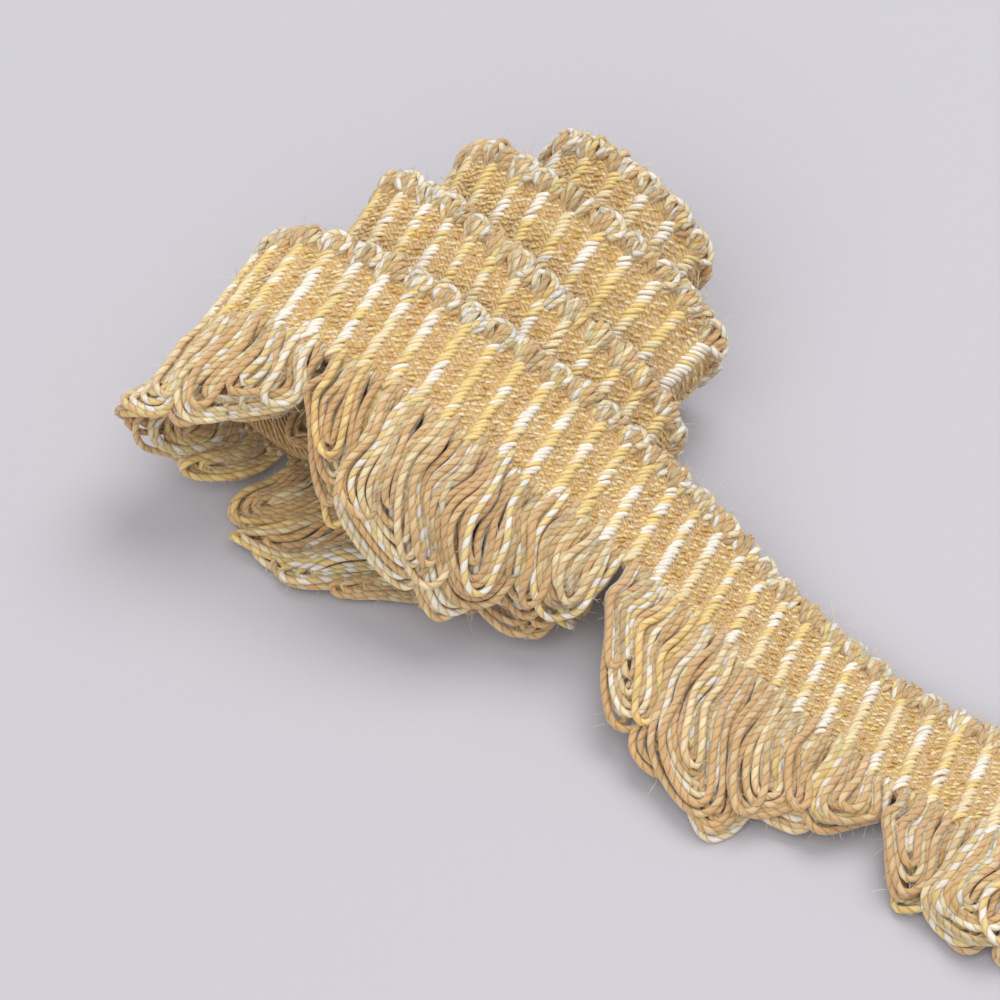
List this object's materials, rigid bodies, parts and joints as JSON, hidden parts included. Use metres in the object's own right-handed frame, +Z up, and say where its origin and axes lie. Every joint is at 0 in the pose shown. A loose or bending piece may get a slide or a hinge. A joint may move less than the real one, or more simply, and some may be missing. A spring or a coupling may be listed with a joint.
{
  "type": "fan edge trim",
  "caption": "Woven ribbed trim with a picot selvedge and a skirt of scalloped yarn-loop fans, wound loosely into a coil that lies on its side with its outer end drawn out.",
  "frame": {"origin": "on the surface the coil lies on, under the middle of the whole strip's box", "axes": "+Z up off the surface, +X to the right and +Y away as the strip is seen from its front; the coil's axis runs 60 degrees round from +X"},
  "size_m": [0.1246, 0.1058, 0.0253],
  "materials": {
    "heading": "matt woven yarn, golden yellow with cream and tan ribs",
    "fans": "soft two-ply yarn loops in tan, pale yellow and cream"
  },
  "bodies": {
    "root": {"heading": "heading", "fan_01": "fans", "fan_02": "fans", "fan_03": "fans", "fan_04": "fans", "fan_05": "fans", "fan_06": "fans", "fan_07": "fans", "fan_08": "fans", "fan_09": "fans", "fan_10": "fans"}
  },
  "joints": []
}
